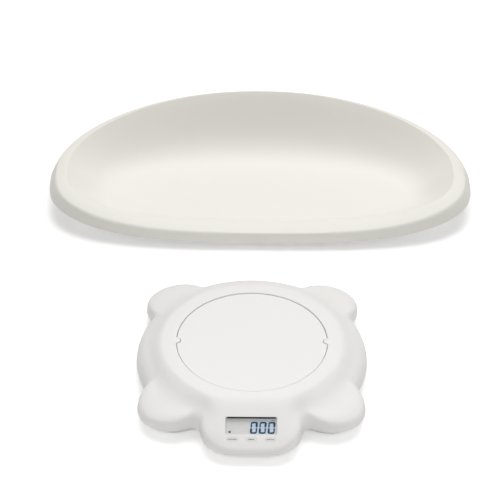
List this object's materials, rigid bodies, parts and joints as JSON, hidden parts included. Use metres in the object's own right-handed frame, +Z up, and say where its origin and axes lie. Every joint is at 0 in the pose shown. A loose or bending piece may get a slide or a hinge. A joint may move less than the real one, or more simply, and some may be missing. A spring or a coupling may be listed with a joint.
{
  "type": "digital baby scale",
  "caption": "Digital baby weighing scale: a lobed base with a round platform and a tilted display, and a long lying tray that stands by itself behind it.",
  "frame": {"origin": "on the floor, at the middle of the footprint of the whole set, base and tray together", "axes": "+Z up; +Y from the base to the tray, away from the reader of the display; +X to the reader's right"},
  "size_m": [0.5498, 0.6589, 0.0718],
  "materials": {
    "shell_white": "satin white ABS",
    "tray_white": "glossy warm white ABS",
    "case_white": "matte white ABS",
    "key_white": "matte white ABS",
    "steel": "zinc-plated steel",
    "aluminium": "bare aluminium",
    "rubber": "dark grey rubber",
    "strip_rubber": "striped contact rubber",
    "gauge_foil": "constantan foil on film",
    "cable_grey": "grey PVC jacket",
    "lead_red": "red and black PVC insulation",
    "lens": "clear acrylic",
    "lcd_glass": "liquid crystal glass with polarisers",
    "backlight": "light guide",
    "board_green": "solder mask",
    "seal_foam": "dark closed-cell foam",
    "label_film": "silver polyester label",
    "chip_black": "moulded epoxy",
    "cell_jacket": "printed jacket"
  },
  "bodies": {
    "base": {"top_shell": "shell_white", "bottom_case": "case_white", "load_cell": "aluminium", "load_cell_block": "case_white", "load_cell_lower_screws": "steel", "strain_gauges": "gauge_foil", "load_cell_cable": "cable_grey", "display_lens": "lens", "window_seal": "seal_foam", "rating_label": "label_film", "lcd_panel": "lcd_glass", "lcd_backlight": "backlight", "lcd_contact_strips": "strip_rubber", "display_board": "board_green", "board_parts": "chip_black", "board_screws": "steel", "key_switches": "chip_black", "battery_cells": "cell_jacket", "battery_springs": "steel", "battery_plates": "steel", "battery_leads": "lead_red", "foot_front_left": "rubber", "foot_front_right": "rubber", "foot_rear_left": "rubber", "foot_rear_right": "rubber", "case_screws": "steel"},
    "platform": {"platform_disc": "shell_white", "platform_carrier": "aluminium", "disc_screws": "steel", "load_cell_upper_screws": "steel"},
    "key_left_body": {"key_left": "key_white"},
    "key_middle_body": {"key_middle": "key_white"},
    "key_right_body": {"key_right": "key_white"},
    "door": {"battery_door": "case_white"},
    "tray": {"tray_shell": "tray_white", "tray_foot_ring": "tray_white", "tray_pads": "rubber"}
  },
  "joints": [
    {"name": "platform_sink", "type": "slide", "parent": "base", "child": "platform", "axis": [0, 0, -1], "range_m": [0, 0.0005], "stiffness_N_per_m": 20000, "springref_m": -0.0005, "deforming": ["load_cell"]},
    {"name": "key_left_press", "type": "slide", "parent": "base", "child": "key_left_body", "axis": [0, 0.3714, -0.9285], "range_m": [0, 0.0005], "stiffness_N_per_m": 1000, "springref_m": -0.001},
    {"name": "key_middle_press", "type": "slide", "parent": "base", "child": "key_middle_body", "axis": [0, 0.3714, -0.9285], "range_m": [0, 0.0005], "stiffness_N_per_m": 1000, "springref_m": -0.001},
    {"name": "key_right_press", "type": "slide", "parent": "base", "child": "key_right_body", "axis": [0, 0.3714, -0.9285], "range_m": [0, 0.0005], "stiffness_N_per_m": 1000, "springref_m": -0.001},
    {"name": "battery_door_slide", "type": "slide", "parent": "base", "child": "door", "axis": [0, 1, 0], "range_m": [0, 0.06]},
    {"name": "tray_lift", "type": "slide", "parent": "base", "child": "tray", "axis": [0, 0, 1], "range_m": [0, 0.15]}
  ]
}
